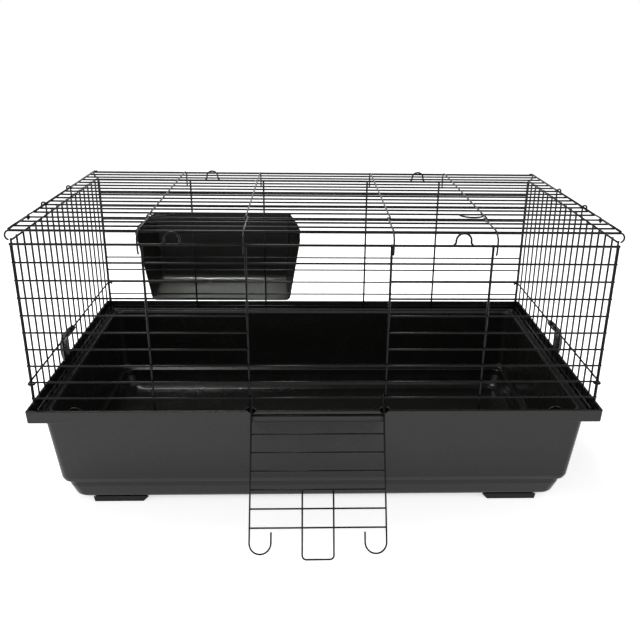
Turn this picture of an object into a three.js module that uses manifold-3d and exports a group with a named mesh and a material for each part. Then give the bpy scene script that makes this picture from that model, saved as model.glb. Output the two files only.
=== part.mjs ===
// Indoor rabbit cage: a deep moulded tray, a wire top that sits in the tray's rim, a front door
// that folds down into a ramp, a hinged strip in the roof, a latch on each side, and a hay rack
// hung behind. Millimetres, +Z up, +X to the right, the front facing -Y.

import * as THREE from 'three';
import Module from 'manifold-3d';
import { mergeVertices } from 'three/addons/utils/BufferGeometryUtils.js';
import { ConvexGeometry } from 'three/addons/geometries/ConvexGeometry.js';

const wasm = await Module();
wasm.setup();

// ---------------------------------------------------------------- driving dimensions
const TRAY_LENGTH = 1000;          // over the rim, along X
const TRAY_DEPTH = 562;            // over the rim, along Y
const RIM_TOP = 217;               // above the floor
const UNDERSIDE = 6;                // of the tray, above the floor
const SKIRT = 23.5;                // how far the rim's outer skirt hangs down
const WALL = 3;
const GAP = 0.4;                   // clearance between touching pieces

const ROW_PITCH = 30.2;            // between the panels' long wires
const FIRST_ROW = 20.3;            // lowest free row, above the rim
const ROW_WIRE = 3.0;              // wire diameters
const BENT_WIRE = 2.9;             // bent ends, just inside the square bars they continue
const FRAME_WIRE = 3.8;
const PIN_WIRE = 3.6;
const WELD = 0.4;                  // how far crossing wires sink into each other

const FRONT_PLANE = 271;           // |Y| of the front and rear panels' rows
const SIDE_PLANE = 487;            // |X| of the side panels' uprights
const CORNER_POST = 486.5;         // |X| of the front and rear panels' end posts
const OUTER_POST = 282;
const JAMB = 117.5;                // |X| of the door posts
const ROOF_RISE = 311;             // roof plane above the rim
const ROOF_X = 492.5;
const ROOF_Y = 257.5;
const ROOF_REACH = ROOF_X - 0.4;     // the roof's long wires end just inside its edge
const LID_HINGE_Y = -168;          // the roof strip turns about its own rear wire
const SEAM_Y = -132;               // the fixed part of the roof starts here
const SIDE_PITCH = 29.75;
const SIDE_FIRST = -238;
const SIDE_COUNT = 17;

const RAMP_ANGLE = 56.5;           // below the horizontal when the door is down
const RAMP_HALF_WIDTH = 114.5;
const RUNG_PITCH = 31;
const RUNG_COUNT = 7;
const RAMP_LENGTH = 270;           // hinge to the end of the handle loop
const EYE_RADIUS = 3.6;            // centre line of the hinge eyes

const ROD_RISE = 47;               // side rods above the rim
const ROD_HOOK = 5.2;              // bend of the rods' ends round the corner posts
const HUB_WIDTH = 36;              // latch, across its two knuckles
const LEVER_WIDTH = 30;
const HUB_SLOT = 14;               // between the knuckles, for the upright behind

const RACK_FRONT = 282;            // |Y| of the hay rack's open side
const RACK_DEPTH = 100;
const RACK_X = -225;
const RACK_WALL = 2.5;

// ---------------------------------------------------------------- places worked out from them
const rowZ = (row) => RIM_TOP + FIRST_ROW + ROW_PITCH * row;
const TOP_ROW = 9;
const LINTEL_ROW = 8;
const SILL_ROW = 2;
const TOP_Z = rowZ(TOP_ROW);
const ROOF_Z = RIM_TOP + ROOF_RISE;
const SHELF_Z = RIM_TOP - 18;
const POST_FOOT_Z = SHELF_Z + GAP;
const POST_INSET = (ROW_WIRE + FRAME_WIRE) / 2 - WELD;
const ROW_END = CORNER_POST + 1.1;
const ROD_X = SIDE_PLANE + ROW_WIRE / 2 + 0.3 + PIN_WIRE / 2;
const ROD_Z = RIM_TOP + ROD_RISE;

// ---------------------------------------------------------------- materials
const blackPlastic = new THREE.MeshStandardMaterial({ color: 0x2b2c2a, roughness: 0.42 });
const footPlastic = new THREE.MeshStandardMaterial({ color: 0x1d1e1d, roughness: 0.6 });
const rackPlastic = new THREE.MeshStandardMaterial({ color: 0x232421, roughness: 0.38 });
const latchPlastic = new THREE.MeshStandardMaterial({ color: 0x161719, roughness: 0.35 });
const coatedWire = new THREE.MeshStandardMaterial({ color: 0x0c0d10, roughness: 0.3, metalness: 0.5 });

// ---------------------------------------------------------------- solid helpers
function solidOf(geometry) {
  const bare = new THREE.BufferGeometry();
  bare.setAttribute('position', geometry.getAttribute('position'));
  bare.setIndex(geometry.getIndex());
  const merged = mergeVertices(bare, 1e-4);
  return new wasm.Manifold(new wasm.Mesh({
    numProp: 3,
    vertProperties: new Float32Array(merged.getAttribute('position').array),
    triVerts: new Uint32Array(merged.getIndex().array),
  }));
}

function join(solids) {
  return solids.reduce((sum, next) => sum.add(next));
}

function geometryOf(solid) {
  const mesh = solid.getMesh();
  const geometry = new THREE.BufferGeometry();
  geometry.setAttribute('position', new THREE.BufferAttribute(mesh.vertProperties, 3));
  geometry.setIndex(new THREE.BufferAttribute(mesh.triVerts, 1));
  geometry.computeVertexNormals();
  return geometry;
}

function piece(name, solid, material) {
  const mesh = new THREE.Mesh(geometryOf(solid), material.clone());
  mesh.name = name;
  return mesh;
}

function box(low, high) {
  const size = high.map((value, axis) => value - low[axis]);
  const middle = high.map((value, axis) => (value + low[axis]) / 2);
  return solidOf(new THREE.BoxGeometry(...size).translate(...middle));
}

// A straight bar of square section along X, Y or Z between two corners of its centre line.
function bar(from, to, width) {
  const half = width / 2;
  const low = from.map((value, axis) => (value === to[axis] ? value - half : Math.min(value, to[axis])));
  const high = from.map((value, axis) => (value === to[axis] ? value + half : Math.max(value, to[axis])));
  return box(low, high);
}

function circleShape(radius, sides) {
  const points = [];
  for (let i = 0; i < sides; i += 1) {
    const angle = (2 * Math.PI * (i + 0.5)) / sides;
    points.push(new THREE.Vector2(radius * Math.cos(angle), radius * Math.sin(angle)));
  }
  return new THREE.Shape(points);
}

// A round wire swept along a smooth line through the points.
function wire(points, width, steps, sides = 6) {
  const path = new THREE.CatmullRomCurve3(points.map((p) => new THREE.Vector3(...p)), false, 'centripetal');
  const swept = new THREE.ExtrudeGeometry(circleShape(width / 2, sides), { steps, extrudePath: path });
  return solidOf(swept);
}

// Points of a circular arc in the plane of two unit directions.
function arc(centre, first, second, radius, fromDegrees, toDegrees, count) {
  const points = [];
  for (let i = 0; i <= count; i += 1) {
    const angle = THREE.MathUtils.degToRad(fromDegrees + ((toDegrees - fromDegrees) * i) / count);
    const along = radius * Math.cos(angle);
    const across = radius * Math.sin(angle);
    points.push(centre.map((value, axis) => value + first[axis] * along + second[axis] * across));
  }
  return points;
}

const X = [1, 0, 0];
const Y = [0, 1, 0];
const Z = [0, 0, 1];
const NEG_Y = [0, -1, 0];

// ---------------------------------------------------------------- tray
// The tray is a stack of rounded rectangles. Each step of its section is the inset from the
// rim's outer edge and the height: up the outside, over the rim and down the inside.
const TRAY_SECTION = [
  [68, UNDERSIDE], [60, 7.2], [51, 13.5], [45, 25], [42, 42], [41, 50.5], [34.8, 54], [33.3, 58],
  [32.2, 64], [21.5, RIM_TOP - SKIRT], [20.8, SHELF_Z - WALL], [6.2, SHELF_Z - WALL],
  [5.6, RIM_TOP - SKIRT], [0.8, RIM_TOP - SKIRT], [0, RIM_TOP - 3], [0, RIM_TOP - 1.5],
  [1.2, RIM_TOP], [3.6, RIM_TOP], [5, SHELF_Z], [16, SHELF_Z],
  [17.5, SHELF_Z + 5], [20, SHELF_Z + 5], [21.5, SHELF_Z + 0.5], [26, SHELF_Z + 0.5],
  [27.5, SHELF_Z + 3.5], [30.5, SHELF_Z + 3.5], [32.5, SHELF_Z - 1],
  [35.5, 66], [37, 59.5], [38.5, 57.5], [44.5, 53.5], [45.5, 42], [49, 25], [54.5, 14.5], [62, 10.2],
  [71, UNDERSIDE + WALL],
];
const CORNER_SEGMENTS = 5;
const LUG_PLACES = [117.5, 421];
const LUG_HALF = 13;
const LUG_HEIGHT = 12;
const cornerRadius = (inset) => 4 + 0.35 * inset;

function traySolid() {
  const positions = [];
  const indices = [];
  const ringSize = 4 * (CORNER_SEGMENTS + 1);
  for (const [inset, z] of TRAY_SECTION) {
    const radius = cornerRadius(inset);
    const cornerX = TRAY_LENGTH / 2 - inset - radius;
    const cornerY = TRAY_DEPTH / 2 - inset - radius;
    for (let corner = 0; corner < 4; corner += 1) {
      const signX = corner === 0 || corner === 3 ? 1 : -1;
      const signY = corner < 2 ? 1 : -1;
      for (let step = 0; step <= CORNER_SEGMENTS; step += 1) {
        const angle = (Math.PI / 2) * (corner + step / CORNER_SEGMENTS);
        positions.push(signX * cornerX + radius * Math.cos(angle));
        positions.push(signY * cornerY + radius * Math.sin(angle), z);
      }
    }
  }
  for (let ring = 0; ring + 1 < TRAY_SECTION.length; ring += 1) {
    for (let i = 0; i < ringSize; i += 1) {
      const a = ring * ringSize + i;
      const b = ring * ringSize + ((i + 1) % ringSize);
      indices.push(a, b, b + ringSize, a, b + ringSize, a + ringSize);
    }
  }
  const bottom = positions.length / 3;
  const lastRing = (TRAY_SECTION.length - 1) * ringSize;
  positions.push(0, 0, UNDERSIDE, 0, 0, UNDERSIDE + WALL);
  for (let i = 0; i < ringSize; i += 1) {
    const next = (i + 1) % ringSize;
    indices.push(bottom, next, i);
    indices.push(bottom + 1, lastRing + i, lastRing + next);
  }
  const geometry = new THREE.BufferGeometry();
  geometry.setAttribute('position', new THREE.Float32BufferAttribute(positions, 3));
  geometry.setIndex(indices);
  return solidOf(geometry);
}

// A notch in the rim's front edge that takes one of the ramp's side wires.
function rampNotch(x) {
  const outline = new THREE.Shape([
    new THREE.Vector2(x - 10, RIM_TOP + 1), new THREE.Vector2(x - 3, RIM_TOP - 7),
    new THREE.Vector2(x + 3, RIM_TOP - 7), new THREE.Vector2(x + 10, RIM_TOP + 1),
  ]);
  const cut = new THREE.ExtrudeGeometry(outline, { depth: 8, bevelEnabled: false });
  return solidOf(cut.rotateX(Math.PI / 2).translate(0, -TRAY_DEPTH / 2 + 5.2, 0));
}

// A half-round lug on the front of the first ridge inside the rim.
function rimLug(x) {
  const outline = new THREE.Shape();
  outline.absarc(0, 0, LUG_HALF, 0, Math.PI, false);
  const lug = new THREE.ExtrudeGeometry(outline, { depth: 2.4, bevelEnabled: false, curveSegments: 8 });
  lug.scale(1, LUG_HEIGHT / LUG_HALF, 1).rotateX(Math.PI / 2);
  return solidOf(lug.translate(x, -TRAY_DEPTH / 2 + 19.9, SHELF_Z + 4));
}

function tray() {
  let solid = traySolid();
  for (const side of [-1, 1]) {
    solid = solid.subtract(rampNotch(side * RAMP_HALF_WIDTH));
    for (const x of LUG_PLACES) {
      solid = solid.add(rimLug(side * x));
    }
  }
  return piece('tray', solid, blackPlastic);
}

// A foot's section across its length: it stands under the tray and laps up round the lower corner.
const FOOT_LIP = 12;
const FOOT_SECTION = [[168, 0], [230, 0], [230.4, FOOT_LIP], [221.3, 6.4], [213.5, 5.5], [168, 5.5]];
const FOOT_OUTER = [415.5, 417.5];  // |X| of the ends, at the floor and at the lip
const FOOT_INNER = [325, 313];

function foot(name, signX, signY) {
  const outline = new THREE.Shape(FOOT_SECTION.map(([y, z]) => new THREE.Vector2(y, z)));
  const pad = new THREE.ExtrudeGeometry(outline, { depth: 1, bevelEnabled: false });
  const place = pad.getAttribute('position');
  for (let i = 0; i < place.count; i += 1) {
    const z = place.getY(i);
    const [low, high] = place.getZ(i) > 0.5 ? FOOT_OUTER : FOOT_INNER;
    place.setXYZ(i, low + ((high - low) * z) / FOOT_LIP, place.getX(i), z);
  }
  let solid = solidOf(pad);
  if (signX < 0) {
    solid = solid.mirror(X);
  }
  if (signY < 0) {
    solid = solid.mirror(Y);
  }
  return piece(name, solid, footPlastic);
}

// ---------------------------------------------------------------- wire panels
function row(fromX, toX, y, z, width = ROW_WIRE) {
  return bar([fromX, y, z], [toX, y, z], width);
}

function post(x, y, topZ, width = FRAME_WIRE) {
  return bar([x, y, POST_FOOT_Z], [x, y, topZ], width);
}

// A half-round loop that stands on a top wire, in the plane of that wire.
function archLoop(base, along, halfWidth, height) {
  const legs = height - halfWidth;
  const crown = base.map((value, axis) => value + Z[axis] * legs);
  const flare = halfWidth + 4;
  const points = [
    base.map((value, axis) => value + along[axis] * flare),
    ...arc(crown, along, Z, halfWidth, 0, 180, 6),
    base.map((value, axis) => value - along[axis] * flare),
  ];
  return wire(points, FRAME_WIRE - 0.4, 10);
}

const ARCH_X = 232.5;
const ARCH_HALF = 12.3;
const ARCH_HEIGHT = 20.9;

function frontGrille(name, side) {
  const solids = [];
  for (let r = -1; r <= TOP_ROW; r += 1) {
    const width = r === TOP_ROW ? FRAME_WIRE : ROW_WIRE;
    const ends = [side * ROW_END, side * (JAMB - 1)];
    solids.push(row(Math.min(...ends), Math.max(...ends), -FRONT_PLANE, rowZ(r), width));
  }
  for (const x of [CORNER_POST, OUTER_POST, JAMB]) {
    solids.push(post(side * x, -FRONT_PLANE + POST_INSET, TOP_Z + 1));
  }
  solids.push(archLoop([side * ARCH_X, -FRONT_PLANE, TOP_Z], X, ARCH_HALF, ARCH_HEIGHT));
  return piece(name, join(solids), coatedWire);
}

// The rows that run across between the door posts, each held by both of them.
function crossRow(name, r) {
  const width = r === TOP_ROW ? FRAME_WIRE : ROW_WIRE;
  const reach = JAMB - FRAME_WIRE / 2 - 0.3;
  return piece(name, row(-reach, reach, -FRONT_PLANE, rowZ(r), width), coatedWire);
}

function hingeWire(name) {
  const reach = JAMB - FRAME_WIRE / 2 - 0.3;
  const pin = new THREE.CylinderGeometry(ROW_WIRE / 2, ROW_WIRE / 2, 2 * reach, 12).rotateZ(Math.PI / 2);
  return piece(name, solidOf(pin.translate(0, -FRONT_PLANE, rowZ(0))), coatedWire);
}

function rearGrille() {
  const solids = [];
  for (let r = -1; r <= TOP_ROW; r += 1) {
    const width = r === TOP_ROW ? FRAME_WIRE : ROW_WIRE;
    solids.push(row(-ROW_END, ROW_END, FRONT_PLANE, rowZ(r), width));
  }
  for (const side of [-1, 1]) {
    for (const x of [CORNER_POST, OUTER_POST, JAMB]) {
      solids.push(post(side * x, FRONT_PLANE - POST_INSET, TOP_Z + 1));
    }
    solids.push(archLoop([side * ARCH_X, FRONT_PLANE, TOP_Z], X, ARCH_HALF, ARCH_HEIGHT));
  }
  return piece('rear_grille', join(solids), coatedWire);
}

const SIDE_TOP = RIM_TOP + 298.2;
const SIDE_END = 263;
const SIDE_HOOKS = [-87, 63];      // Y of the hooks over the roof's edge
const SIDE_HOOK_BEND = 3.8;
const ROOF_EDGE = ROOF_X - FRAME_WIRE / 2;

// A hook that rises from a side panel's top wire and bends over the roof's edge.
function edgeHook(side, y) {
  const centre = [side * ROOF_EDGE, y, ROOF_Z + 3.9];
  return wire([
    [side * (ROOF_EDGE - SIDE_HOOK_BEND), y, SIDE_TOP - 1],
    ...arc(centre, [-side, 0, 0], Z, SIDE_HOOK_BEND, 0, 180, 6),
    [side * (ROOF_EDGE + SIDE_HOOK_BEND), y, ROOF_Z - 2],
  ], ROW_WIRE, 12);
}

function sideGrille(name, side) {
  const x = side * SIDE_PLANE;
  const rail = x - side * (ROW_WIRE - WELD);
  const solids = [];
  for (let i = 0; i < SIDE_COUNT; i += 1) {
    solids.push(post(x, SIDE_FIRST + SIDE_PITCH * i, SIDE_TOP + 1, ROW_WIRE));
  }
  for (const y of [-SIDE_END, SIDE_END]) {
    solids.push(post(x, y, SIDE_TOP + 1, ROW_WIRE));
  }
  solids.push(bar([rail, -SIDE_END, rowZ(-1) + 3], [rail, SIDE_END, rowZ(-1) + 3], ROW_WIRE));
  solids.push(bar([rail, -SIDE_END, SIDE_TOP], [rail, SIDE_END, SIDE_TOP], ROW_WIRE));
  for (const y of SIDE_HOOKS) {
    solids.push(edgeHook(side, y));
  }
  return piece(name, join(solids), coatedWire);
}

// The C-shaped loop at the end of a side panel's top wire, bulging outward below the roof.
function cornerLoop(name, side, end) {
  const centre = [side * (SIDE_PLANE + 0.5), end * (SIDE_END + 1.9), SIDE_TOP + 7.1];
  const curl = arc(centre, [side, 0, 0], [0, -end * 0.2, 0.98], 7.5, -75, 95, 8);
  return piece(name, wire(curl, ROW_WIRE, 8), coatedWire);
}

// A plain rod along a side, its ends bent round the corner posts.
function sideRod(name, side) {
  const straightEnd = FRONT_PLANE - 2.4;
  const straight = new THREE.CylinderGeometry(PIN_WIRE / 2, PIN_WIRE / 2, 2 * straightEnd, 12);
  const solids = [solidOf(straight.translate(side * ROD_X, 0, ROD_Z))];
  for (const end of [-1, 1]) {
    const centre = [side * (ROD_X - ROD_HOOK), end * straightEnd, ROD_Z];
    const bend = arc(centre, [side, 0, 0], [0, end, 0], ROD_HOOK, 0, 200, 9);
    solids.push(wire([[side * ROD_X, end * (straightEnd - 4), ROD_Z], ...bend], ROW_WIRE, 12));
  }
  return piece(name, join(solids), coatedWire);
}

// ---------------------------------------------------------------- roof
const ROOF_CROSS = [-290.6, -123.6, 123.6, 290.6];
const ROOF_PITCH = 30;
const LID_CROSS_SHIFT = 3.6;
const HOOK_DROP = 34;
const SEAM_LOOP_X = 272;
const SEAM_LOOP_RADIUS = 22;

// The end of a cross wire, bent down outside a panel's top wire.
function endHook(x, end) {
  const hookY = end * (FRONT_PLANE + FRAME_WIRE / 2 + 0.5 + ROW_WIRE / 2);
  return wire([
    [x, end * (ROOF_Y - 5), ROOF_Z + ROW_WIRE - WELD], [x, end * (ROOF_Y + 4), ROOF_Z + 1.4],
    [x, hookY, ROOF_Z - 7], [x, hookY, ROOF_Z - HOOK_DROP + 6],
    [x, hookY - end * 2.9, ROOF_Z - HOOK_DROP],
  ], BENT_WIRE, 9);
}

// The end of one of the rear part's wires, curled round the front strip's hinge wire.
function hingeEye(x) {
  const crossZ = ROOF_Z + ROW_WIRE - WELD;
  const eye = arc([x, LID_HINGE_Y, ROOF_Z], Z, NEG_Y, EYE_RADIUS, 0, 290, 10);
  const tail = [[x, SEAM_Y, crossZ], [x, (SEAM_Y + LID_HINGE_Y) / 2, ROOF_Z + 3]];
  return wire([...tail, ...eye], BENT_WIRE, 14);
}

function roofRear() {
  const solids = [];
  const crossZ = ROOF_Z + ROW_WIRE - WELD;
  const longCount = Math.round((ROOF_Y - SEAM_Y) / ROOF_PITCH);
  for (let i = 0; i < longCount; i += 1) {
    solids.push(row(-ROOF_REACH, ROOF_REACH, SEAM_Y + ROOF_PITCH * i, ROOF_Z));
  }
  solids.push(row(-ROOF_REACH, ROOF_REACH, ROOF_Y, ROOF_Z, FRAME_WIRE));
  for (const side of [-1, 1]) {
    const x = side * ROOF_EDGE;
    solids.push(bar([x, SEAM_Y - 1, crossZ], [x, ROOF_Y, crossZ], FRAME_WIRE));
    solids.push(hingeEye(x));
    const loop = arc([side * SEAM_LOOP_X, SEAM_Y, ROOF_Z], X, NEG_Y, SEAM_LOOP_RADIUS, 0, 180, 6);
    solids.push(wire(loop, BENT_WIRE, 8));
  }
  for (const x of ROOF_CROSS) {
    solids.push(bar([x, SEAM_Y - 1, crossZ], [x, ROOF_Y - 4, crossZ], ROW_WIRE));
    solids.push(endHook(x, 1));
    solids.push(hingeEye(x));
  }
  return piece('roof_rear_grille', join(solids), coatedWire);
}

function roofLid() {
  const solids = [];
  const crossZ = ROOF_Z + ROW_WIRE - WELD;
  const hinge = new THREE.CylinderGeometry(ROW_WIRE / 2, ROW_WIRE / 2, 2 * ROOF_REACH, 12).rotateZ(Math.PI / 2);
  solids.push(solidOf(hinge.translate(0, LID_HINGE_Y, ROOF_Z)));
  const reach = ROOF_Y + LID_HINGE_Y;
  for (let i = 1; i < 3; i += 1) {
    solids.push(row(-ROOF_REACH, ROOF_REACH, LID_HINGE_Y - (reach * i) / 3, ROOF_Z));
  }
  solids.push(row(-ROOF_REACH, ROOF_REACH, -ROOF_Y, ROOF_Z, FRAME_WIRE));
  const barEnd = LID_HINGE_Y - 8;
  for (const side of [-1, 1]) {
    const x = side * ROOF_EDGE;
    solids.push(bar([x, -ROOF_Y, crossZ], [x, barEnd, crossZ], FRAME_WIRE));
  }
  for (const x of ROOF_CROSS) {
    const shifted = x - Math.sign(x) * LID_CROSS_SHIFT;
    solids.push(bar([shifted, -ROOF_Y + 4, crossZ], [shifted, LID_HINGE_Y, crossZ], ROW_WIRE));
    solids.push(endHook(shifted, -1));
  }
  return piece('roof_lid_grille', join(solids), coatedWire);
}

// ---------------------------------------------------------------- ramp door
// Built closed: X across, Z from the hinge wire to the handle, standing EYE_RADIUS in front.
const LAST_RUNG = RUNG_PITCH * RUNG_COUNT;
const RUNG_OFFSET = -EYE_RADIUS - (ROW_WIRE - WELD);
const HOOK_END = 259;
const HOOK_SPAN = 36;
const HANDLE_HALF = 26.5;

function rampDoor() {
  const group = new THREE.Group();
  const grille = [];
  const sideTop = LAST_RUNG + 4;
  for (let i = 1; i <= RUNG_COUNT; i += 1) {
    const reach = RAMP_HALF_WIDTH + ROW_WIRE / 2;
    grille.push(bar([-reach, RUNG_OFFSET, RUNG_PITCH * i], [reach, RUNG_OFFSET, RUNG_PITCH * i], ROW_WIRE));
  }
  for (const side of [-1, 1]) {
    const x = side * RAMP_HALF_WIDTH;
    grille.push(bar([x, -EYE_RADIUS, 9], [x, -EYE_RADIUS, sideTop], ROW_WIRE));
  }
  group.add(piece('ramp_grille', join(grille), coatedWire));
  for (const [label, side] of [['left', -1], ['right', 1]]) {
    const x = side * RAMP_HALF_WIDTH;
    const eyeX = x - side;
    const eye = arc([eyeX, 0, 0], NEG_Y, [0, 0, -1], EYE_RADIUS, 0, 285, 9);
    const shank = [[eyeX, -EYE_RADIUS, 9 - 0.3], [eyeX, -EYE_RADIUS, 4.5]];
    group.add(piece(`ramp_hinge_eye_${label}`, wire([...shank, ...eye], ROW_WIRE, 12), coatedWire));
    const bend = HOOK_SPAN / 2;
    const centre = [x - side * bend, -EYE_RADIUS, HOOK_END - bend];
    const hook = [
      [x, -EYE_RADIUS, sideTop + 0.3],
      ...arc(centre, [side, 0, 0], Z, bend, 0, 180, 8),
      [x - side * HOOK_SPAN, -EYE_RADIUS, LAST_RUNG + 7],
    ];
    group.add(piece(`ramp_hook_${label}`, wire(hook, ROW_WIRE, 11), coatedWire));
  }
  const handleY = RUNG_OFFSET - ROW_WIRE - 0.3;
  const handleFoot = LAST_RUNG - 2 * RUNG_PITCH - 1;
  const handleReach = HANDLE_HALF + ROW_WIRE / 2;
  const handle = [
    bar([-HANDLE_HALF, handleY, handleFoot], [-HANDLE_HALF, handleY, RAMP_LENGTH], ROW_WIRE),
    bar([HANDLE_HALF, handleY, handleFoot], [HANDLE_HALF, handleY, RAMP_LENGTH], ROW_WIRE),
    row(-handleReach, handleReach, handleY, RAMP_LENGTH - ROW_WIRE / 2),
  ];
  group.add(piece('ramp_handle', join(handle), coatedWire));
  group.position.set(0, -FRONT_PLANE, rowZ(0));
  group.rotation.x = THREE.MathUtils.degToRad(90 + RAMP_ANGLE);
  return group;
}

// ---------------------------------------------------------------- side latches
// A curved lever that turns on the side rod by two knuckles and closes over the rim's outer edge.
// Its outline is drawn with X outward from the rod and Y up.
function latch(name, side, y) {
  const outline = new THREE.Shape();
  outline.moveTo(4.6, 3.2);
  outline.bezierCurveTo(11, 1, 17.5, -11, 19, -29);
  outline.bezierCurveTo(19.3, -36, 19, -41, 18.6, -45);
  outline.lineTo(16.2, -57);
  outline.lineTo(12.6, -60.5);
  outline.lineTo(11, -56);
  outline.lineTo(13.5, -45);
  outline.bezierCurveTo(14, -26, 9.5, -10, 3.2, -4.6);
  outline.absarc(0, 0, 5.6, -Math.PI / 3, -2 * Math.PI + 0.6, true);
  const bore = new THREE.Path();
  bore.absarc(0, 0, PIN_WIRE / 2 + 0.25, 0, 2 * Math.PI, false);
  outline.holes.push(bore);
  const body = new THREE.ExtrudeGeometry(outline, { depth: HUB_WIDTH, bevelEnabled: false, curveSegments: 10 });
  body.rotateX(Math.PI / 2).translate(0, HUB_WIDTH / 2, 0);
  const slot = box([-8, -HUB_SLOT / 2, -7.5], [8.5, HUB_SLOT / 2, 7.5]);
  let solid = solidOf(body).subtract(slot);
  for (const end of [-1, 1]) {
    const ends = [end * LEVER_WIDTH / 2, end * (HUB_WIDTH / 2 + 1)];
    const beside = box([0, Math.min(...ends), -70], [25, Math.max(...ends), -9]);
    solid = solid.subtract(beside);
  }
  if (side < 0) {
    solid = solid.mirror(X);
  }
  const mesh = piece(name, solid, latchPlastic);
  mesh.position.set(side * ROD_X, y, ROD_Z);
  return mesh;
}

// ---------------------------------------------------------------- hay rack
// Open at the top and towards the cage; the floor falls towards the panel.
function rackBlock(grow, lift, forward) {
  const corners = [];
  const backY = RACK_FRONT + RACK_DEPTH + grow;
  const frontY = RACK_FRONT - forward;
  const front = [[188, RIM_TOP + 183 + lift], [191, RIM_TOP + 150], [165, RIM_TOP - grow]];
  const back = [[164, RIM_TOP + 192 + lift], [159, RIM_TOP + 24 - grow]];
  for (const side of [-1, 1]) {
    for (const [half, z] of front) {
      corners.push(new THREE.Vector3(RACK_X + side * (half + grow), frontY, z));
    }
    for (const [half, z] of back) {
      corners.push(new THREE.Vector3(RACK_X + side * (half + grow), backY, z));
    }
  }
  return solidOf(new ConvexGeometry(corners));
}

function hayRack() {
  let solid = rackBlock(0, 0, 0).subtract(rackBlock(-RACK_WALL, 30, 12));
  const hookRow = rowZ(5);
  const hookZ = hookRow + ROW_WIRE / 2 + 0.5;
  for (const side of [-1, 1]) {
    const x = RACK_X + side * 186;
    const inner = FRONT_PLANE - ROW_WIRE / 2 - 0.8;
    solid = solid.add(box([x - 4, inner - 2.5, hookZ], [x + 4, RACK_FRONT + 4, hookZ + 3]));
    solid = solid.add(box([x - 4, inner - 2.5, hookRow - 7], [x + 4, inner, hookZ + 3]));
  }
  return piece('hay_rack', solid, rackPlastic);
}

// ---------------------------------------------------------------- assembly
const cage = new THREE.Group();
cage.add(tray());
cage.add(foot('foot_front_left', -1, -1));
cage.add(foot('foot_front_right', 1, -1));
cage.add(foot('foot_rear_left', -1, 1));
cage.add(foot('foot_rear_right', 1, 1));
cage.add(frontGrille('front_grille_left', -1));
cage.add(frontGrille('front_grille_right', 1));
cage.add(crossRow('lintel_wire_upper', TOP_ROW));
cage.add(crossRow('lintel_wire_lower', LINTEL_ROW));
for (let r = SILL_ROW; r > 0; r -= 1) {
  cage.add(crossRow(`sill_wire_${r}`, r));
}
cage.add(hingeWire('ramp_hinge_wire'));
cage.add(crossRow('sill_wire_bottom', -1));
cage.add(rearGrille());
cage.add(sideGrille('side_grille_left', -1));
cage.add(sideGrille('side_grille_right', 1));
for (const [endName, end] of [['front', -1], ['rear', 1]]) {
  cage.add(cornerLoop(`corner_loop_${endName}_left`, -1, end));
  cage.add(cornerLoop(`corner_loop_${endName}_right`, 1, end));
}
cage.add(sideRod('side_rod_left', -1));
cage.add(sideRod('side_rod_right', 1));
cage.add(roofRear());
cage.add(roofLid());
cage.add(rampDoor());
cage.add(latch('latch_left', -1, -SIDE_PITCH));
cage.add(latch('latch_right', 1, 0));
cage.add(hayRack());

// The frame's origin is the middle of the whole object's footprint, on the floor.
cage.updateMatrixWorld(true);
const extent = new THREE.Box3().setFromObject(cage, true);
cage.position.set(-(extent.min.x + extent.max.x) / 2, -(extent.min.y + extent.max.y) / 2, 0);

const group = new THREE.Group();
group.add(cage);

export default group;
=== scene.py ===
"""The looks of the rabbit cage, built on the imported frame. Lengths in the helpers are millimetres."""

import math

import bmesh
import bpy
from mathutils import Matrix, Vector


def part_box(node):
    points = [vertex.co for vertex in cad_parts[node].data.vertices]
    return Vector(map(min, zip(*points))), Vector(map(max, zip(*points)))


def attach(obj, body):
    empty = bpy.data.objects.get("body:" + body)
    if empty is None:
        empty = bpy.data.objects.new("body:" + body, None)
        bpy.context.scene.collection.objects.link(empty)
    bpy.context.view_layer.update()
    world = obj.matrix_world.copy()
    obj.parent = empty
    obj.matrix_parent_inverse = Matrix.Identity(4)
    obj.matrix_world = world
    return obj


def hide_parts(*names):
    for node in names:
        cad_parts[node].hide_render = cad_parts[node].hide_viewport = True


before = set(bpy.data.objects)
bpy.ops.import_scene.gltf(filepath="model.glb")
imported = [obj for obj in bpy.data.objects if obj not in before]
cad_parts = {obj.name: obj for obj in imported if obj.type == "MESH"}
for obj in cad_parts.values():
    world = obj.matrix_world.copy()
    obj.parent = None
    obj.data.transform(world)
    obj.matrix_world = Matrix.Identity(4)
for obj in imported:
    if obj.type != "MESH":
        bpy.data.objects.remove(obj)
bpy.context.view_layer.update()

# ---------------------------------------------------------------- places, from the CAD
tray_low, tray_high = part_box("tray")
MID_Y = (tray_low[1] + tray_high[1]) * 500.0
RIM = tray_high[2] * 1000.0
HALF_LENGTH = (tray_high[0] - tray_low[0]) * 500.0
HALF_DEPTH = (tray_high[1] - tray_low[1]) * 500.0
FOOT = tray_low[2] * 1000.0
pin_low, pin_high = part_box("ramp_hinge_wire")
FRONT = MID_Y - (pin_low[1] + pin_high[1]) * 500.0
ROW_0 = (pin_low[2] + pin_high[2]) * 500.0
upper_low, upper_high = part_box("lintel_wire_upper")
TOP_ROW_Z = (upper_low[2] + upper_high[2]) * 500.0

# The wires: widths, how deep crossing wires sink into each other, and the size of a weld bead.
ROW_WIRE = 3.0
FRAME_WIRE = 3.8
LOOP_WIRE = 3.4
ROD_WIRE = 3.4
COATING = 0.3
WELD = 0.4
BEAD_SHARE = 0.62
WIRE_SIDES = 12

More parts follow.
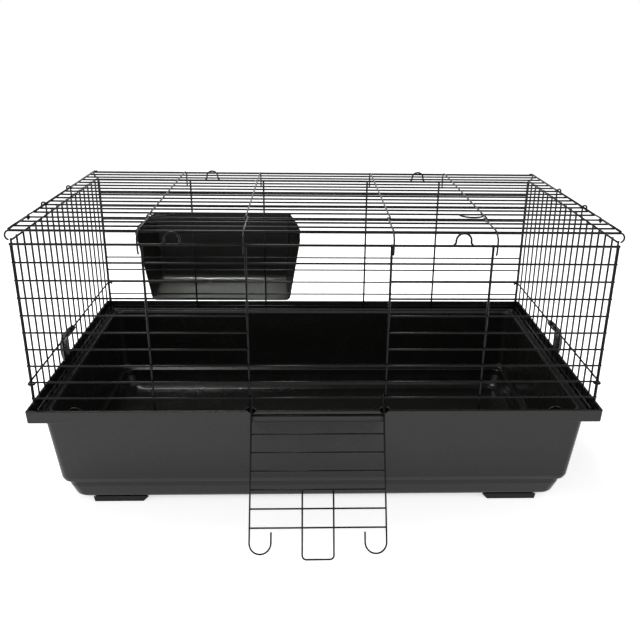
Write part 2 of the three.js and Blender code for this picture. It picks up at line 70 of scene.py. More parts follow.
# The wire top: rows, posts, sides and roof.
ROWS = range(-1, 10)
TOP_ROW = 9
HINGE_ROW = 0
RACK_ROW = 5
ROW_OVERHANG = 1.1
CORNER_POST = 486.5
OUTER_POST = 282.0
JAMB = 117.5
POSTS = (CORNER_POST, OUTER_POST, JAMB)
ARCH_X = 232.5
ARCH_HALF = 12.3
ARCH_HEIGHT = 20.9
SIDE_PLANE = 487.0
SIDE_TOP = RIM + 298.2
SIDE_END = 263.0
SIDE_FIRST = -238.0
SIDE_PITCH = 29.75
SIDE_COUNT = 17
EDGE_HOOKS = (-87, 63)
EDGE_HOOK_RADIUS = 3.8
CORNER_LOOP_RADIUS = 7.5
ROOF_Z = RIM + 311.0
ROOF_X = 492.5
ROOF_EDGE = ROOF_X - FRAME_WIRE / 2
ROOF_Y = 257.5
LID_HINGE_Y = -168.0
EYE_START_Y = -150.0
SEAM_Y = -132.0
ROOF_PITCH = 30.0
ROOF_CROSS = (-290.6, -123.6, 123.6, 290.6)
LID_CROSS_SHIFT = 3.6
ROOF_LOOP_X = 272.0
ROOF_LOOP_RADIUS = 22.0
END_HOOK_DROP = 34.0
CROSS_Z = ROOF_Z + ROW_WIRE - WELD
SHELF_Z = RIM - 18.0
POST_FOOT = SHELF_Z + 0.4
ROD_X = 490.6
ROD_Z = RIM + 47.0
ROD_BEND = 5.2

# The ramp door, along its own length from the hinge.
EYE = 3.6
RAMP_ANGLE = 56.5
RAMP_SIDE = 114.5
RUNG_PITCH = 31.0
RUNG_COUNT = 7
SIDE_WIRE_START = 9.2
HOOK_START = 221.0
HOOK_CENTRE = 241.0
HOOK_RADIUS = 18.0
HANDLE_HALF = 26.5
HANDLE_START = 154.0
HANDLE_END = 268.5

X, Y, Z = Vector((1, 0, 0)), Vector((0, 1, 0)), Vector((0, 0, 1))


def row_z(row):
    """The height of a row of the front and rear grilles, counted from the ramp's hinge wire."""
    return ROW_0 + (TOP_ROW_Z - ROW_0) / TOP_ROW * row


def row_width(row):
    return FRAME_WIRE if row == TOP_ROW else ROW_WIRE


def at(p):
    """A point given in millimetres about the tray's middle, in the frame's metres."""
    return Vector((p[0], p[1] + MID_Y, p[2])) * 0.001


# ---------------------------------------------------------------- node materials
def new_material(name, colour, roughness, specular=0.5):
    material = bpy.data.materials.new(name)
    material.use_nodes = True
    shader = material.node_tree.nodes["Principled BSDF"]
    shader.inputs["Base Color"].default_value = (*colour, 1.0)
    shader.inputs["Roughness"].default_value = roughness
    shader.inputs["Specular IOR Level"].default_value = specular
    return material, material.node_tree, shader


def node(tree, kind, **inputs):
    made = tree.nodes.new(kind)
    for name, value in inputs.items():
        made.inputs[name].default_value = value
    return made


def noise(tree, scale, detail=3.0, stretch=(1.0, 1.0, 1.0)):
    """A noise texture over the object's own coordinates, optionally stretched."""
    place = tree.nodes.new("ShaderNodeTexCoord")
    mapping = node(tree, "ShaderNodeMapping", Scale=stretch)
    texture = node(tree, "ShaderNodeTexNoise", Scale=scale, Detail=detail)
    tree.links.new(place.outputs["Object"], mapping.inputs["Vector"])
    tree.links.new(mapping.outputs["Vector"], texture.inputs["Vector"])
    return texture.outputs["Fac"]


def spread(tree, source, low, high, start=0.3, end=0.7, blend="LINEAR"):
    """Maps a value to low..high between start and end."""
    ramp = node(tree, "ShaderNodeMapRange")
    ramp.interpolation_type = blend
    for name, value in (("From Min", start), ("From Max", end), ("To Min", low), ("To Max", high)):
        ramp.inputs[name].default_value = value
    tree.links.new(source, ramp.inputs["Value"])
    return ramp.outputs["Result"]


def calculate(tree, operation, first, second):
    """A math node whose inputs are fixed values or other nodes' outputs."""
    maths = tree.nodes.new("ShaderNodeMath")
    maths.operation = operation
    for socket, value in zip(maths.inputs, (first, second)):
        if isinstance(value, float):
            socket.default_value = value
        else:
            tree.links.new(value, socket)
    return maths.outputs["Value"]


def mix_colour(tree, factor, first, second):
    mix = tree.nodes.new("ShaderNodeMix")
    mix.data_type = "RGBA"
    mix.inputs[6].default_value = (*first, 1.0)
    mix.inputs[7].default_value = (*second, 1.0)
    tree.links.new(factor, mix.inputs[0])
    return mix.outputs[2]


def bump(tree, shader, layers):
    """Stacks bump layers of (height, strength, distance in metres)."""
    last = None
    for height, strength, distance in layers:
        layer = node(tree, "ShaderNodeBump", Strength=strength, Distance=distance)
        tree.links.new(height, layer.inputs["Height"])
        if last is not None:
            tree.links.new(last, layer.inputs["Normal"])
        last = layer.outputs["Normal"]
    tree.links.new(last, shader.inputs["Normal"])


def plastic(name, dark, light, roughness, grain=0.25, scratches=True, specular=0.5):
    """Moulded plastic: fine grain, slow flow marks in the sheen, and faint scuffs."""
    material, tree, shader = new_material(name, dark, roughness, specular)
    flow = noise(tree, 9.0, 4.0)
    tree.links.new(mix_colour(tree, flow, dark, light), shader.inputs["Base Color"])
    sheen = spread(tree, noise(tree, 26.0, 5.0), roughness * 0.85, roughness * 1.2)
    tree.links.new(sheen, shader.inputs["Roughness"])
    layers = [(noise(tree, 1500.0, 2.0), grain, 0.00004), (noise(tree, 11.0, 2.0), 0.1, 0.0006)]
    if scratches:
        scuffs = spread(tree, noise(tree, 60.0, 8.0, (1.0, 9.0, 1.0)), 0.0, 1.0, 0.62, 0.7)
        layers.append((scuffs, 0.05, 0.0001))
    bump(tree, shader, layers)
    return material


def wire_coating(name):
    """Glossy black coating on steel wire: slightly uneven sheen and a faint orange peel."""
    dark, light = (0.003, 0.003, 0.004), (0.007, 0.007, 0.009)
    material, tree, shader = new_material(name, dark, 0.2, 0.15)
    tree.links.new(mix_colour(tree, noise(tree, 35.0, 3.0), dark, light), shader.inputs["Base Color"])
    tree.links.new(spread(tree, noise(tree, 60.0, 4.0), 0.14, 0.28), shader.inputs["Roughness"])
    bump(tree, shader, [(noise(tree, 700.0, 2.0), 0.3, 0.0001)])
    return material


TRAY = plastic("tray_moulding", (0.004, 0.0047, 0.0036), (0.0065, 0.0075, 0.006), 0.25, specular=0.37)
RACK = plastic("rack_moulding", (0.0042, 0.0047, 0.0036), (0.006, 0.0068, 0.0052), 0.34, specular=0.3)
FEET = plastic("foot_moulding", (0.003, 0.003, 0.003), (0.006, 0.006, 0.006), 0.45,
               grain=0.4, scratches=False, specular=0.25)
LATCH = plastic("latch_moulding", (0.003, 0.003, 0.0034), (0.006, 0.006, 0.0066), 0.24,
                grain=0.15, scratches=False)
WIRE = wire_coating("wire_coating")


# ---------------------------------------------------------------- mesh helpers
def finish_piece(name, mesh, body, nodes, material):
    piece = bpy.data.objects.new(name, mesh)
    bpy.context.scene.collection.objects.link(piece)
    mesh.materials.append(material)
    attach(piece, body)
    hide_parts(*nodes)
    return piece


def arc(centre, first, second, radius, start, end, count):
    """Points of an arc in the plane of two unit vectors, angles in degrees."""
    points = []
    for i in range(count + 1):
        angle = math.radians(start + (end - start) * i / count)
        offset = first * (radius * math.cos(angle)) + second * (radius * math.sin(angle))
        points.append(Vector(centre) + offset)
    return points


def rounded(points, radius, steps=6):
    """A polyline with each inner corner bent to a radius."""
    points = [Vector(p) for p in points]
    path = [points[0]]
    for before, corner, after in zip(points, points[1:], points[2:]):
        one, two = (before - corner).normalized(), (after - corner).normalized()
        half = one.angle(two) / 2
        if half > math.radians(89.5):
            path.append(corner)
            continue
        reach = min(radius / math.tan(half), (before - corner).length * 0.5, (after - corner).length * 0.5)
        bend = reach * math.tan(half)
        centre = corner + (one + two).normalized() * (bend / math.sin(half))
        start, end = corner + one * reach - centre, corner + two * reach - centre
        turn = start.angle(end)
        for i in range(steps + 1):
            share = i / steps
            from_start = math.sin((1 - share) * turn) / math.sin(turn)
            from_end = math.sin(share * turn) / math.sin(turn)
            path.append(centre + start * from_start + end * from_end)
    path.append(points[-1])
    return path


class Wires:
    """Round wires gathered into one mesh."""

    def __init__(self):
        self.mesh = bmesh.new()

    def run(self, points, width=ROW_WIRE, sides=WIRE_SIDES):
        """A round wire along a path, with rounded ends."""
        points = [at(p) for p in points]
        tangents = []
        for i in range(len(points)):
            step = points[min(i + 1, len(points) - 1)] - points[max(i - 1, 0)]
            tangents.append(step.normalized())
        side = tangents[0].orthogonal().normalized()
        radius = width / 2000
        rings = []
        for i, (point, tangent) in enumerate(zip(points, tangents)):
            side = (side - tangent * side.dot(tangent)).normalized()
            other = tangent.cross(side)
            caps = []
            if i == 0:
                caps = [(0.45, -0.45), (0.85, -0.2), (1.0, 0.1)]
            elif i == len(points) - 1:
                caps = [(1.0, -0.1), (0.85, 0.2), (0.45, 0.45)]
            for size, shift in caps or [(1.0, 0.0)]:
                centre = point + tangent * (shift * radius * 0.6)
                ring = []
                for k in range(sides):
                    angle = 2 * math.pi * k / sides
                    offset = side * math.cos(angle) + other * math.sin(angle)
                    ring.append(self.mesh.verts.new(centre + offset * (radius * size)))
                rings.append(ring)
        for first, second in zip(rings, rings[1:]):
            for k in range(sides):
                n = (k + 1) % sides
                self.mesh.faces.new((first[k], first[n], second[n], second[k]))
        self.mesh.faces.new(list(reversed(rings[0])))
        self.mesh.faces.new(rings[-1])

    def line(self, start, end, width=ROW_WIRE):
        """A straight wire, fuller than its core by the coating."""
        self.run([Vector(start), Vector(end)], width + COATING)

    def weld(self, p, width=ROW_WIRE):
        """The small bead where two crossing wires are welded."""
        radius = width * BEAD_SHARE / 1000
        bmesh.ops.create_icosphere(self.mesh, subdivisions=1, radius=radius, matrix=Matrix.Translation(at(p)))

    def piece(self, name, body, nodes):
        bmesh.ops.recalc_face_normals(self.mesh, faces=self.mesh.faces)
        mesh = bpy.data.meshes.new(name)
        self.mesh.to_mesh(mesh)
        self.mesh.free()
        mesh.polygons.foreach_set("use_smooth", [True] * len(mesh.polygons))
        return finish_piece(name, mesh, body, nodes, WIRE)


def outline_piece(name, loops, depth, edge, place, body, nodes, material):
    """A flat outline, with holes, thickened and given rounded edges."""
    curve = bpy.data.curves.new(name + "_outline", "CURVE")
    curve.dimensions = "2D"
    curve.fill_mode = "BOTH"
    curve.extrude = depth / 2000 - edge / 1000
    curve.bevel_depth = edge / 1000
    curve.bevel_resolution = 3
    curve.offset = -edge / 1000
    for loop in loops:
        spline = curve.splines.new("POLY")
        spline.points.add(len(loop) - 1)
        for point, (u, v) in zip(spline.points, loop):
            point.co = (u / 1000, v / 1000, 0, 1)
        spline.use_cyclic_u = True
    holder = bpy.data.objects.new(name + "_outline", curve)
    bpy.context.scene.collection.objects.link(holder)
    bpy.context.view_layer.update()
    mesh = bpy.data.meshes.new_from_object(holder.evaluated_get(bpy.context.evaluated_depsgraph_get()))
    bpy.data.objects.remove(holder)
    mesh.transform(place)
    mesh.name = name
    return finish_piece(name, mesh, body, nodes, material)


# ---------------------------------------------------------------- tray
# Inset from the rim's edge, height and bend radius, up the outside, over the rim and down inside.
TRAY_SECTION = [
    (68, FOOT, 0), (59, FOOT + 1.2, 6), (49, FOOT + 9, 12), (42, 40, 10), (40.9, 50.4, 1.5),
    (34.9, 54, 1.5), (32.3, 62, 6), (21.6, RIM - 24, 1.5), (20.8, SHELF_Z - 3, 1.0), (6.2, SHELF_Z - 3, 1.0),
    (5.6, RIM - 23.5, 0.5), (0.8, RIM - 23.5, 0.7), (0, RIM - 0.1, 2.8), (4.2, RIM - 0.1, 0.6),
    (5, SHELF_Z, 1.2), (16, SHELF_Z, 1.2), (17.3, SHELF_Z + 5, 1.0), (20.2, SHELF_Z + 5, 1.0),
    (21.6, SHELF_Z + 0.5, 1.0), (26, SHELF_Z + 0.5, 1.0), (27.3, SHELF_Z + 3.5, 1.0),
    (30.7, SHELF_Z + 3.5, 1.2), (32.6, SHELF_Z - 2, 2), (35.4, 66, 5), (37.8, 57.2, 2.5), (44.6, 53.8, 2.5),
    (45.8, 41, 9), (51.5, 18, 12), (61, 10, 7), (71, FOOT + 3, 0),
]
CORNER_STEPS = 14
EDGE_STEPS = 12
LUG_PLACES = (117.5, 421.0)
LUG_HALF = 13
LUG_HEIGHT = 12
LUG_STEPS = 20


def tray_rings():
    """The section with its bends rounded, as points of (inset, height)."""
    points = [Vector((inset, z, 0)) for inset, z, _ in TRAY_SECTION]
    rings = [points[0]]
    for i in range(1, len(points) - 1):
        bend = rounded(points[i - 1:i + 2], TRAY_SECTION[i][2], 4)
        rings.extend(bend[1:-1])
    rings.append(points[-1])
    return rings


def tray_ring(inset):
    """One closed line round the tray at an inset from the rim's edge, with rounded corners."""
    radius = 4 + 0.35 * inset
    reach_x, reach_y = HALF_LENGTH - inset - radius, HALF_DEPTH - inset - radius
    points = []
    for corner, (sx, sy) in enumerate(((1, 1), (-1, 1), (-1, -1), (1, -1))):
        for i in range(CORNER_STEPS + 1):
            angle = math.pi / 2 * (corner + i / CORNER_STEPS)
            points.append((sx * reach_x + radius * math.cos(angle), sy * reach_y + radius * math.sin(angle)))
        ax, ay = points[-1]
        nx, ny = ((-1, 1), (-1, -1), (1, -1), (1, 1))[corner]
        if corner in (0, 2):
            bx, by = nx * reach_x, ay
        else:
            bx, by = ax, ny * reach_y
        for i in range(1, EDGE_STEPS):
            share = i / EDGE_STEPS
            points.append((ax + (bx - ax) * share, ay + (by - ay) * share))
    return points


def build_tray():
    mesh = bmesh.new()
    rings = []
    for section in tray_rings():
        rings.append([mesh.verts.new(at((x, y, section[1]))) for x, y in tray_ring(section[0])])
    size = len(rings[0])
    for low, high in zip(rings, rings[1:]):
        for k in range(size):
            n = (k + 1) % size
            mesh.faces.new((low[k], low[n], high[n], high[k]))
    mesh.faces.new(list(reversed(rings[0])))
    mesh.faces.new(rings[-1])
    bmesh.ops.recalc_face_normals(mesh, faces=mesh.faces)
    data = bpy.data.meshes.new("tray_shell")
    mesh.to_mesh(data)
    mesh.free()
    data.polygons.foreach_set("use_smooth", [True] * len(data.polygons))
    tray = finish_piece("tray_shell", data, "tray", ["tray"], TRAY)
    for side in (-1, 1):
        cut_notch(tray, side * RAMP_SIDE)
        for x in LUG_PLACES:
            add_lug(side * x)
    weighted = tray.modifiers.new("even_shading", "WEIGHTED_NORMAL")
    weighted.keep_sharp = True


def add_lug(x):
    """A half-round lug on the front of the first ridge inside the rim."""
    outline = [(-LUG_HALF, -2)]
    for k in range(LUG_STEPS + 1):
        angle = math.pi * k / LUG_STEPS
        outline.append((-LUG_HALF * math.cos(angle), LUG_HEIGHT * math.sin(angle)))
    outline.append((LUG_HALF, -2))
    upright = Matrix(((1, 0, 0, 0), (0, 0, -1, 0), (0, 1, 0, 0), (0, 0, 0, 1)))
    place = Matrix.Translation(at((x, -HALF_DEPTH + 18.7, SHELF_Z + 4))) @ upright
    hand = "left" if x < 0 else "right"
    where = "corner" if abs(x) > 200 else "door"
    outline_piece(f"rim_lug_{where}_{hand}", [outline], 2.4, 0.5, place,
                  "tray", ["tray"], TRAY)


def cut_notch(tray, x):
    """A V-shaped notch in the rim's front edge under one of the ramp's side wires."""
    outline = [(-9.5, 1), (-3.6, -5.6), (-1.8, -6.9), (1.8, -6.9), (3.6, -5.6), (9.5, 1)]
    mesh = bmesh.new()
    front = [mesh.verts.new(at((x + u, -HALF_DEPTH - 2, RIM + v))) for u, v in outline]
    back = [mesh.verts.new(at((x + u, -HALF_DEPTH + 5.2, RIM + v))) for u, v in outline]
    mesh.faces.new(front)
    mesh.faces.new(list(reversed(back)))
    for k in range(len(outline)):
        n = (k + 1) % len(outline)
        mesh.faces.new((front[n], front[k], back[k], back[n]))
    bmesh.ops.recalc_face_normals(mesh, faces=mesh.faces)
    data = bpy.data.meshes.new("notch_tool")
    mesh.to_mesh(data)
    mesh.free()
    tool = bpy.data.objects.new("notch_tool", data)
    bpy.context.scene.collection.objects.link(tool)
    cut = tray.modifiers.new("notch", "BOOLEAN")
    cut.operation = "DIFFERENCE"
    cut.solver = "EXACT"
    cut.object = tool
    bpy.context.view_layer.update()
    baked = bpy.data.meshes.new_from_object(tray.evaluated_get(bpy.context.evaluated_depsgraph_get()))
    tray.modifiers.remove(cut)
    tray.data = baked
    bpy.data.objects.remove(tool)


build_tray()


# ---------------------------------------------------------------- feet
FOOT_SECTION = [(168, 0), (230, 0), (230.3, 12), (221.3, 6.4), (213.5, 5.5), (168, 5.5)]
FOOT_HEIGHT = 12
FOOT_ENDS = ((415.5, 417.5), (325, 313))


def build_foot(name, sx, sy):
    """A pad under the tray that laps up round its lower corner. Each end is given at floor and top."""
    mesh = bmesh.new()
    ends = []
    for low, high in FOOT_ENDS:
        end_ring = []
        for y, z in FOOT_SECTION:
            x = low + (high - low) * z / FOOT_HEIGHT
            end_ring.append(mesh.verts.new(at((sx * x, sy * y, z))))
        ends.append(end_ring)
    mesh.faces.new(ends[0])
    mesh.faces.new(list(reversed(ends[1])))
    for k in range(len(FOOT_SECTION)):
        n = (k + 1) % len(FOOT_SECTION)
        mesh.faces.new((ends[0][n], ends[0][k], ends[1][k], ends[1][n]))
    bmesh.ops.recalc_face_normals(mesh, faces=mesh.faces)
    bmesh.ops.bevel(mesh, geom=mesh.edges[:], offset=0.0008, segments=3, profile=0.5, affect="EDGES")
    data = bpy.data.meshes.new(name + "_pad")
    mesh.to_mesh(data)
    mesh.free()
    finish_piece(name + "_pad", data, "tray", [name], FEET)


for end, sy in (("front", -1), ("rear", 1)):
    for hand, sx in (("left", -1), ("right", 1)):
        build_foot(f"foot_{end}_{hand}", sx, sy)


# ---------------------------------------------------------------- front and rear grilles
def arch(wires, x, y):
    """A half-round loop standing on a top wire, with flared feet."""
    base = Vector((x, y, TOP_ROW_Z))
    crown = base + Z * (ARCH_HEIGHT - ARCH_HALF)
    foot, knee, reach = X * (ARCH_HALF + 4), Z * 5, X * ARCH_HALF
    left = rounded([base - foot, base - reach + knee, crown - reach], 8)
    right = rounded([crown + reach, base + reach + knee, base + foot], 8)
    wires.run(right[::-1] + arc(crown, X, Z, ARCH_HALF, 0, 180, 14)[1:-1] + left[::-1], LOOP_WIRE)


POST_SHIFT = (ROW_WIRE + FRAME_WIRE) / 2 - WELD
ROW_END = CORNER_POST + ROW_OVERHANG


def post(wires, x, y):
    """An upright that stands on the tray's shelf and carries every row."""
    wires.line((x, y, POST_FOOT), (x, y, TOP_ROW_Z + 1), FRAME_WIRE)


def build_front_half(name, side):
    wires = Wires()
    for row in ROWS:
        z = row_z(row)
        wires.line((side * ROW_END, -FRONT, z), (side * JAMB, -FRONT, z), row_width(row))
        for x in POSTS:
            wires.weld((side * x, -FRONT + POST_SHIFT / 2, z))
    for x in POSTS:
        post(wires, side * x, -FRONT + POST_SHIFT)
    arch(wires, side * ARCH_X, -FRONT)
    wires.piece(name + "_wires", "wire_top", [name])


build_front_half("front_grille_left", -1)
build_front_half("front_grille_right", 1)

# The ramp's eyes turn on the hinge wire, so it is drawn at its bare width.
for cross_name, row in (("lintel_wire_upper", TOP_ROW), ("lintel_wire_lower", 8), ("sill_wire_2", 2),
                        ("sill_wire_1", 1), ("ramp_hinge_wire", HINGE_ROW), ("sill_wire_bottom", -1)):
    cross = Wires()
    width = ROW_WIRE - COATING if row == HINGE_ROW else row_width(row)
    cross.line((-JAMB, -FRONT, row_z(row)), (JAMB, -FRONT, row_z(row)), width)
    cross.piece(cross_name + "_round", "wire_top", [cross_name])

rear = Wires()
for row in ROWS:
    rear.line((-ROW_END, FRONT, row_z(row)), (ROW_END, FRONT, row_z(row)), row_width(row))
for side in (-1, 1):
    for x in POSTS:
        post(rear, side * x, FRONT - POST_SHIFT)
        for row in ROWS:
            rear.weld((side * x, FRONT - POST_SHIFT / 2, row_z(row)))
    arch(rear, side * ARCH_X, FRONT)
rear.piece("rear_grille_wires", "wire_top", ["rear_grille"])


# ---------------------------------------------------------------- sides
def build_side(hand, side):
    wires = Wires()
    x = side * SIDE_PLANE
    rail = x - side * (ROW_WIRE - WELD)
    uprights = [-SIDE_END, SIDE_END] + [SIDE_FIRST + SIDE_PITCH * i for i in range(SIDE_COUNT)]
    for y in uprights:
        wires.line((x, y, POST_FOOT), (x, y, SIDE_TOP + 1))
        wires.weld(((x + rail) / 2, y, SIDE_TOP))
    for z in (row_z(-1) + 3, SIDE_TOP):
        wires.line((rail, -SIDE_END, z), (rail, SIDE_END, z))
    for y in EDGE_HOOKS:
        radius = EDGE_HOOK_RADIUS
        bend = arc((side * ROOF_EDGE, y, ROOF_Z + 3.9), X * -side, Z, radius, 0, 180, 16)
        inner_end = (side * (ROOF_EDGE - radius), y, SIDE_TOP - 1)
        outer_end = (side * (ROOF_EDGE + radius), y, ROOF_Z - 2)
        wires.run([inner_end, *bend, outer_end])
    wires.piece(f"side_grille_{hand}_wires", "wire_top", [f"side_grille_{hand}"])

    for end_name, end in (("front", -1), ("rear", 1)):
        loop = Wires()
        centre = (side * (SIDE_PLANE + 0.5), end * (SIDE_END + 1.9), SIDE_TOP + 7.1)
        tilted = Vector((0, -end * 0.2, 0.98))
        loop.run(arc(centre, X * side, tilted, CORNER_LOOP_RADIUS, -75, 95, 18))
        loop.piece(f"corner_loop_{end_name}_{hand}_wire", "wire_top", [f"corner_loop_{end_name}_{hand}"])

    rod = Wires()
    straight_end = FRONT - 2.4
    path = []
    for end in (-1, 1):
        centre = (side * (ROD_X - ROD_BEND), end * straight_end, ROD_Z)
        bend = arc(centre, X * side, Y * end, ROD_BEND, 0, 200, 22)
        path = path + (bend[::-1] if end < 0 else bend)
    rod.run(path, ROD_WIRE)
    rod.piece(f"side_rod_{hand}_wire", "wire_top", [f"side_rod_{hand}"])


build_side("left", -1)
build_side("right", 1)


# ---------------------------------------------------------------- roof
ROOF_REACH = ROOF_X - 0.4


def end_hook(x, end):
    """The end of a cross wire, which bends down outside a panel's top wire."""
    outside = end * (FRONT + FRAME_WIRE / 2 + 0.5 + ROW_WIRE / 2)
    return rounded([(x, end * (ROOF_Y - 8), CROSS_Z), (x, end * (ROOF_Y + 3), CROSS_Z - 0.6),
                    (x, outside, ROOF_Z - 7), (x, outside, ROOF_Z - END_HOOK_DROP + 5),
                    (x, outside - end * 2.9, ROOF_Z - END_HOOK_DROP)], 7, 7)


def hinge_eye(x):
    """The open turn round the front strip's rear wire."""
    return arc((x, LID_HINGE_Y, ROOF_Z), Z, -Y, EYE, 0, 290, 22)


roof = Wires()
last_row = round((ROOF_Y - SEAM_Y) / ROOF_PITCH)
for i in range(last_row + 1):
    y = SEAM_Y + ROOF_PITCH * i
    width = FRAME_WIRE if i == last_row else ROW_WIRE
    roof.line((-ROOF_REACH, y, ROOF_Z), (ROOF_REACH, y, ROOF_Z), width)
    for x in (*ROOF_CROSS, -ROOF_EDGE, ROOF_EDGE):
        roof.weld((x, y, ROOF_Z + 1))
for side in (-1, 1):
    x = side * ROOF_EDGE
    roof.line((x, SEAM_Y - 8, CROSS_Z), (x, ROOF_Y, CROSS_Z), FRAME_WIRE)
    roof.run([(x, SEAM_Y, CROSS_Z), (x, EYE_START_Y, CROSS_Z + 0.6), *hinge_eye(x)])
    roof.run(arc((side * ROOF_LOOP_X, SEAM_Y, ROOF_Z), X, -Y, ROOF_LOOP_RADIUS, 0, 180, 20))
for x in ROOF_CROSS:
    tail = [(x, SEAM_Y + 6, CROSS_Z), (x, EYE_START_Y, CROSS_Z + 0.6), *hinge_eye(x)]
    roof.run(tail[::-1] + end_hook(x, 1))
roof.piece("roof_rear_grille_wires", "wire_top", ["roof_rear_grille"])

# The front strip turns on its rear wire, which keeps its bare width inside the eyes.
lid = Wires()
lid_rows = [(LID_HINGE_Y, ROW_WIRE - COATING), (-198, ROW_WIRE), (-228, ROW_WIRE), (-ROOF_Y, FRAME_WIRE)]
for y, width in lid_rows:
    lid.line((-ROOF_REACH, y, ROOF_Z), (ROOF_REACH, y, ROOF_Z), width)
for side in (-1, 1):
    x = side * ROOF_EDGE
    lid.line((x, -ROOF_Y, CROSS_Z), (x, LID_HINGE_Y - 8, CROSS_Z), FRAME_WIRE)
for x in ROOF_CROSS:
    shifted = x - math.copysign(LID_CROSS_SHIFT, x)
    lid.run([(shifted, LID_HINGE_Y, CROSS_Z)] + end_hook(shifted, -1))
    for y, _ in lid_rows:
        lid.weld((shifted, y, ROOF_Z + 1))
lid.piece("roof_lid_grille_wires", "roof_lid", ["roof_lid_grille"])


# ---------------------------------------------------------------- ramp
TURN = Matrix.Rotation(math.radians(90 + RAMP_ANGLE), 3, "X")
RUNG_SHIFT = -EYE - (ROW_WIRE - WELD)


def ramp(points):
    """Points of the shut door, with z up from its hinge, turned down into the open ramp."""
    return [TURN @ Vector(p) + Vector((0, -FRONT, ROW_0)) for p in points]


grille = Wires()
rung_end = RAMP_SIDE + 1.3
for i in range(1, RUNG_COUNT + 1):
    along = RUNG_PITCH * i
    grille.run(ramp([(-rung_end, RUNG_SHIFT, along), (rung_end, RUNG_SHIFT, along)]))
for hand, side in (("left", -1), ("right", 1)):
    x = side * RAMP_SIDE
    grille.run(ramp([(x, -EYE, SIDE_WIRE_START), (x, -EYE, HOOK_START)]))
    eye_wire = Wires()
    eye = arc((x - side, 0, 0), -Y, -Z, EYE, 0, 285, 22)
    eye_wire.run(ramp([(x - side, -EYE, SIDE_WIRE_START), (x - side, -EYE, 4.5), *eye]))
    eye_wire.piece(f"ramp_hinge_eye_{hand}_wire", "ramp_door", [f"ramp_hinge_eye_{hand}"])
    hook_wire = Wires()
    bend = arc((x - side * HOOK_RADIUS, -EYE, HOOK_CENTRE), X * side, Z, HOOK_RADIUS, 0, 180, 24)
    tip = (x - side * 2 * HOOK_RADIUS, -EYE, HOOK_START + 3)
    hook_wire.run(ramp([(x, -EYE, HOOK_START), *bend, tip]))
    hook_wire.piece(f"ramp_hook_{hand}_wire", "ramp_door", [f"ramp_hook_{hand}"])
grille.piece("ramp_grille_wires", "ramp_door", ["ramp_grille"])

handle_y = RUNG_SHIFT - ROW_WIRE - 0.3
handle = Wires()
handle.run(ramp(rounded([(-HANDLE_HALF, handle_y, HANDLE_START), (-HANDLE_HALF, handle_y, HANDLE_END),
                         (HANDLE_HALF, handle_y, HANDLE_END), (HANDLE_HALF, handle_y, HANDLE_START)], 7, 8)))
handle.piece("ramp_handle_wire", "ramp_door", ["ramp_handle"])


# ---------------------------------------------------------------- latches
def finish_latch(name):
    """The latch keeps its CAD shape, with its edges rounded and its curves shaded smooth."""
    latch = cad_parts[name]
    latch.data.materials.clear()
    latch.data.materials.append(LATCH)
    weld = latch.modifiers.new("weld", "WELD")
    weld.merge_threshold = 0.00002
    edge = latch.modifiers.new("edges", "BEVEL")
    edge.width = 0.0009
    edge.segments = 3
    edge.limit_method = "ANGLE"
    edge.angle_limit = math.radians(35)
    edge.harden_normals = False
    smooth = latch.modifiers.new("even_shading", "WEIGHTED_NORMAL")
    smooth.keep_sharp = False
    latch.data.polygons.foreach_set("use_smooth", [True] * len(latch.data.polygons))


finish_latch("latch_left")
finish_latch("latch_right")


# ---------------------------------------------------------------- hay rack
RACK_X = -225.0
RACK_FRONT_Y = 282.0
RACK_BACK_Y = 382.0
RACK_COLUMNS = 8
# Half outlines of the front opening and of the back wall, from the top down, as (half, z).
RACK_FRONT_OUTLINE = [(188, RIM + 183), (190.5, RIM + 150), (164.5, RIM)]
RACK_BACK_OUTLINE = [(164, RIM + 192), (163.5, RIM + 165), (159, RIM + 24)]


def build_rack():
    """A trough open in front and above: a bent sheet lofted front to back, closed by a back wall."""
    mesh = bmesh.new()
    lines = []
    for profile, y in ((RACK_FRONT_OUTLINE, RACK_FRONT_Y), (RACK_BACK_OUTLINE, RACK_BACK_Y)):
        left = [Vector((RACK_X - half, y, z)) for half, z in profile]
        right = [Vector((RACK_X + half, y, z)) for half, z in reversed(profile)]
        lines.append(left + right)
    grid = []
    for step in range(RACK_COLUMNS + 1):
        share = step / RACK_COLUMNS
        grid.append([mesh.verts.new(at(a.lerp(b, share))) for a, b in zip(*lines)])
    for first, second in zip(grid, grid[1:]):
        for k in range(len(first) - 1):
            mesh.faces.new((first[k], first[k + 1], second[k + 1], second[k]))
    back_row = grid[-1]
    mesh.faces.new((back_row[0], back_row[1], back_row[4], back_row[5]))
    mesh.faces.new((back_row[1], back_row[2], back_row[3], back_row[4]))
    bmesh.ops.recalc_face_normals(mesh, faces=mesh.faces)
    mesh.verts.ensure_lookup_table()
    corners = []
    for edge in mesh.edges:
        if len(edge.link_faces) == 2 and edge.calc_face_angle(0) > math.radians(25):
            corners.append(edge)
    bmesh.ops.bevel(mesh, geom=corners, offset=0.010, segments=6, profile=0.5, affect="EDGES",
                    clamp_overlap=True)
    data = bpy.data.meshes.new("hay_rack_shell")
    mesh.to_mesh(data)
    mesh.free()
    data.polygons.foreach_set("use_smooth", [True] * len(data.polygons))
    rack = finish_piece("hay_rack_shell", data, "hay_rack", ["hay_rack"], RACK)
    thick = rack.modifiers.new("wall", "SOLIDIFY")
    thick.thickness = 0.0025
    thick.offset = -1.0
    edge = rack.modifiers.new("edges", "BEVEL")
    edge.width = 0.0006
    edge.segments = 2
    edge.limit_method = "ANGLE"
    edge.angle_limit = math.radians(60)
    rack.modifiers.new("even_shading", "WEIGHTED_NORMAL")


build_rack()


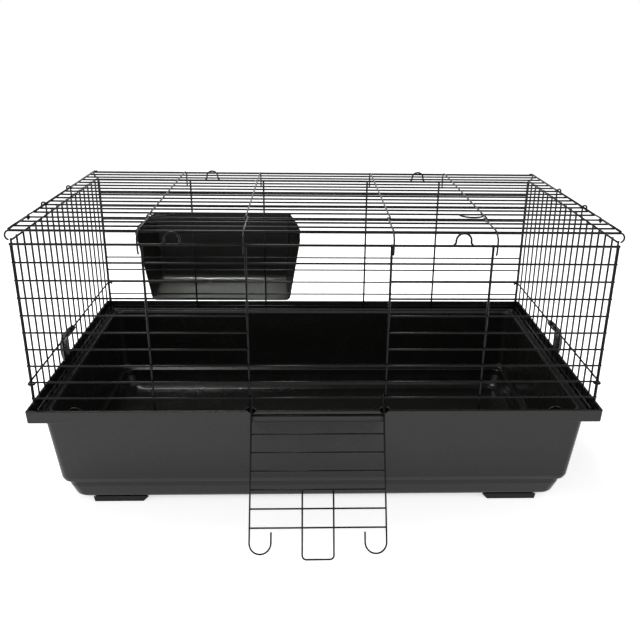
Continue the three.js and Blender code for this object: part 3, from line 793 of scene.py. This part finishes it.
def build_rack_hook(hand, side):
    """A flat hook from the rack's front edge over a rear wire, drawn about that wire's height."""
    inner = FRONT - 2.3 - RACK_FRONT_Y
    outline = [(inner - 2.5, -7), (inner - 2.5, 4), (inner - 1.5, 5), (4, 5), (4, 2), (inner, 2), (inner, -7)]
    upright = Matrix(((0, 0, 1, 0), (1, 0, 0, 0), (0, 1, 0, 0), (0, 0, 0, 1)))
    shift = Matrix.Translation(at((RACK_X + side * 186, RACK_FRONT_Y, row_z(RACK_ROW))))
    outline_piece(f"hay_rack_hook_{hand}", [outline], 8, 0.4, shift @ upright,
                  "hay_rack", ["hay_rack"], RACK)


build_rack_hook("left", -1)
build_rack_hook("right", 1)


# ---------------------------------------------------------------- floor, light and camera
FLOOR_GLOW = 0.66


def plain_floor():
    """A pale floor that glows a little, so that it stays white round the object."""
    mesh = bmesh.new()
    bmesh.ops.create_grid(mesh, x_segments=1, y_segments=1, size=12.0)
    data = bpy.data.meshes.new("studio_floor")
    mesh.to_mesh(data)
    mesh.free()
    floor = bpy.data.objects.new("studio_floor", data)
    bpy.context.scene.collection.objects.link(floor)
    material, _, shader = new_material("studio_floor", (0.9, 0.9, 0.9), 0.7, 0.0)
    shader.inputs["Emission Color"].default_value = (1, 1, 1, 1)
    shader.inputs["Emission Strength"].default_value = FLOOR_GLOW
    data.materials.append(material)


def area_light(name, place, target, size, power, spread_angle=180.0):
    light = bpy.data.lights.new(name, "AREA")
    light.shape = "RECTANGLE"
    light.size, light.size_y = size
    light.energy = power
    light.spread = math.radians(spread_angle)
    holder = bpy.data.objects.new(name, light)
    bpy.context.scene.collection.objects.link(holder)
    holder.location = place
    holder.rotation_euler = (Vector(target) - Vector(place)).to_track_quat("-Z", "Y").to_euler()


plain_floor()
area_light("top_softbox", (-0.6, 0.45, 2.2), (0, 0, 0.2), (1.2, 0.7), 46)
area_light("rack_light", (-0.235, 0.42, 1.7), (-0.225, 0.335, 0.25), (0.26, 0.05), 0.6, 8.0)



def studio_world():
    """A white surround that darkens overhead, and behind the cage above eye level."""
    world = bpy.data.worlds.new("studio")
    bpy.context.scene.world = world
    world.use_nodes = True
    sky = world.node_tree
    direction = sky.nodes.new("ShaderNodeTexCoord")
    parts = sky.nodes.new("ShaderNodeSeparateXYZ")
    sky.links.new(direction.outputs["Generated"], parts.inputs["Vector"])
    overhead = spread(sky, parts.outputs["Z"], 1.0, 0.1, 0.68, 0.9, "SMOOTHSTEP")
    raised = spread(sky, parts.outputs["Z"], 0.0, 1.0, 0.26, 0.38)
    behind = spread(sky, parts.outputs["Y"], 0.0, 0.9, 0.0, 0.5)
    unshaded = calculate(sky, "SUBTRACT", 1.0, calculate(sky, "MULTIPLY", raised, behind))
    background = sky.nodes["Background"]
    background.inputs["Color"].default_value = (1, 1, 1, 1)
    sky.links.new(calculate(sky, "MULTIPLY", overhead, unshaded), background.inputs["Strength"])


studio_world()
bpy.context.scene.view_settings.view_transform = "Standard"


CAMERA_PLACE = (-18.9, -1425.5, RIM + 614.0)
CAMERA_TURN = (-2.11, -21.26, -0.82)


def camera_turn(yaw, pitch, roll):
    """Columns are the view's right, forward and up directions."""
    return (Matrix.Rotation(math.radians(yaw), 3, "Z") @ Matrix.Rotation(math.radians(pitch), 3, "X")
            @ Matrix.Rotation(math.radians(roll), 3, "Y"))


camera_data = bpy.data.cameras.new("view")
camera = bpy.data.objects.new("view", camera_data)
bpy.context.scene.collection.objects.link(camera)
turn = camera_turn(*CAMERA_TURN)
right, forward, up = turn.col[0], turn.col[1], turn.col[2]
axes = Matrix((right, up, -forward)).transposed().to_4x4()
camera.matrix_world = Matrix.Translation(at(CAMERA_PLACE)) @ axes
camera_data.sensor_width = 36.0
camera_data.lens = 42.03
camera_data.shift_x = -0.0197
bpy.context.scene.camera = camera
